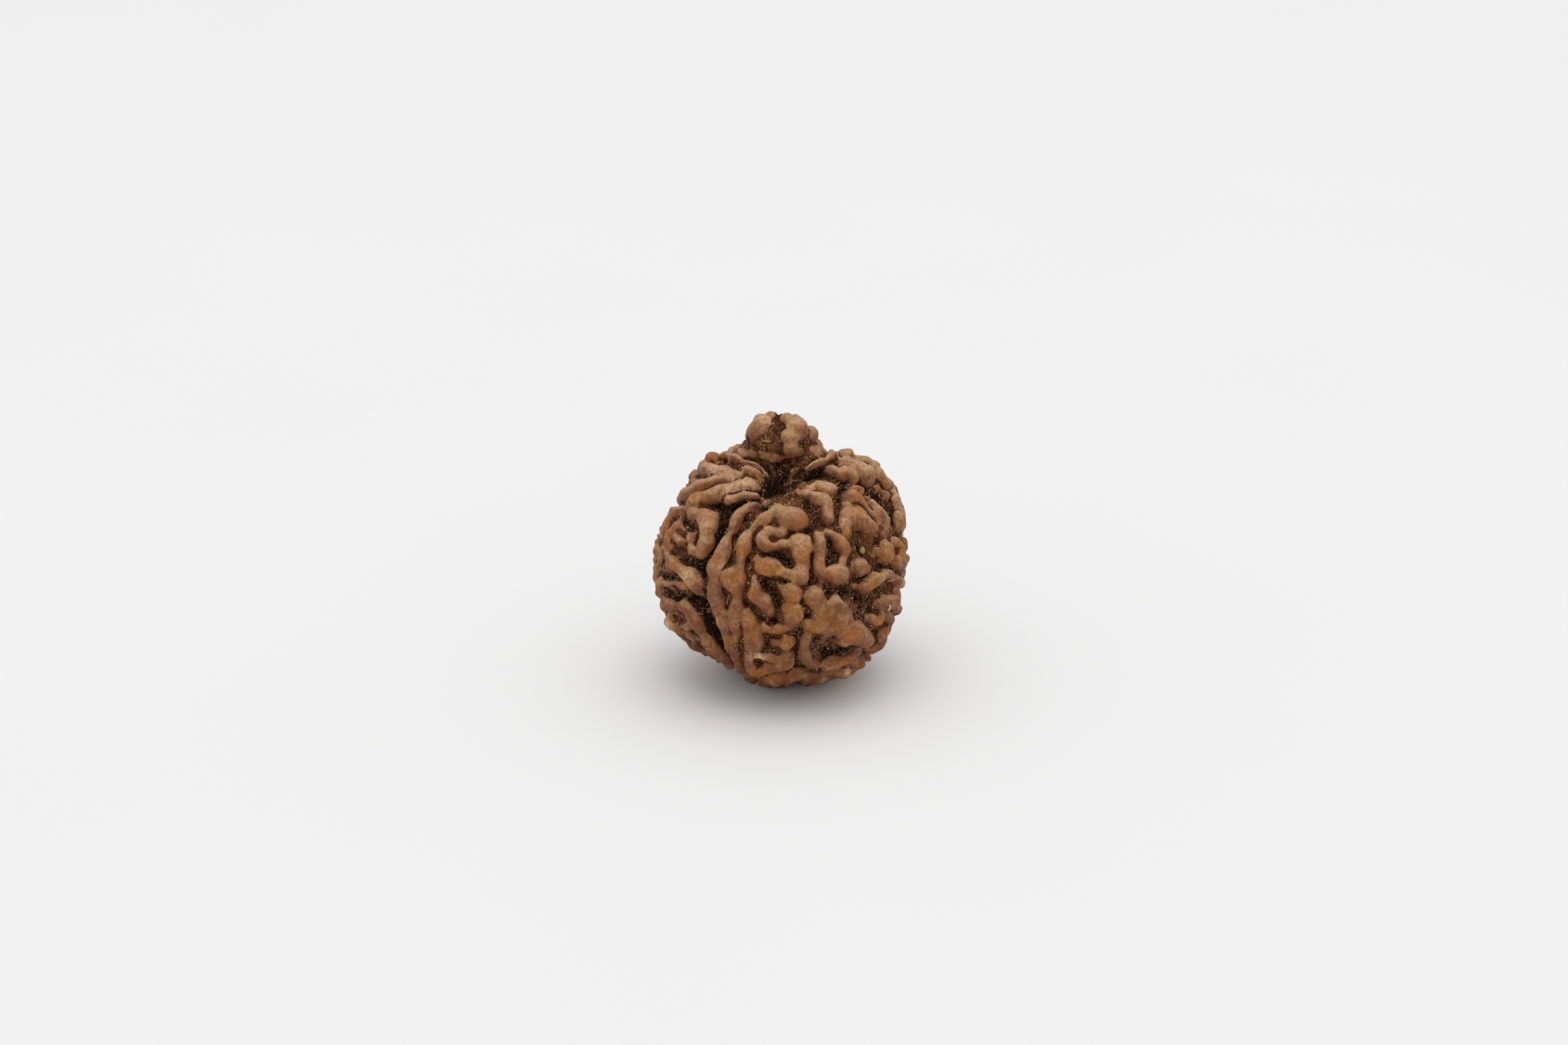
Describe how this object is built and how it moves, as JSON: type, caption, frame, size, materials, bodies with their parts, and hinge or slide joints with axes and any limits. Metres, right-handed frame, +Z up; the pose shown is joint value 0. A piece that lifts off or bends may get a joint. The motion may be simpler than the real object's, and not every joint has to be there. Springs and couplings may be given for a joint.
{
  "type": "rudraksha seed",
  "caption": "Near-round woody seed stone, cleft from pole to pole and covered in deep rounded ridges, with a natural hole and a short stub at its upper pole.",
  "frame": {"origin": "on the floor under the middle of the stone's box", "axes": "+Z up, through the stub; -Y the side that the natural hole leans to; +X to the right of someone facing that side"},
  "size_m": [0.0241, 0.0242, 0.0256],
  "materials": {
    "stone": "satin"
  },
  "bodies": {
    "root": {"seed": "stone"}
  },
  "joints": []
}
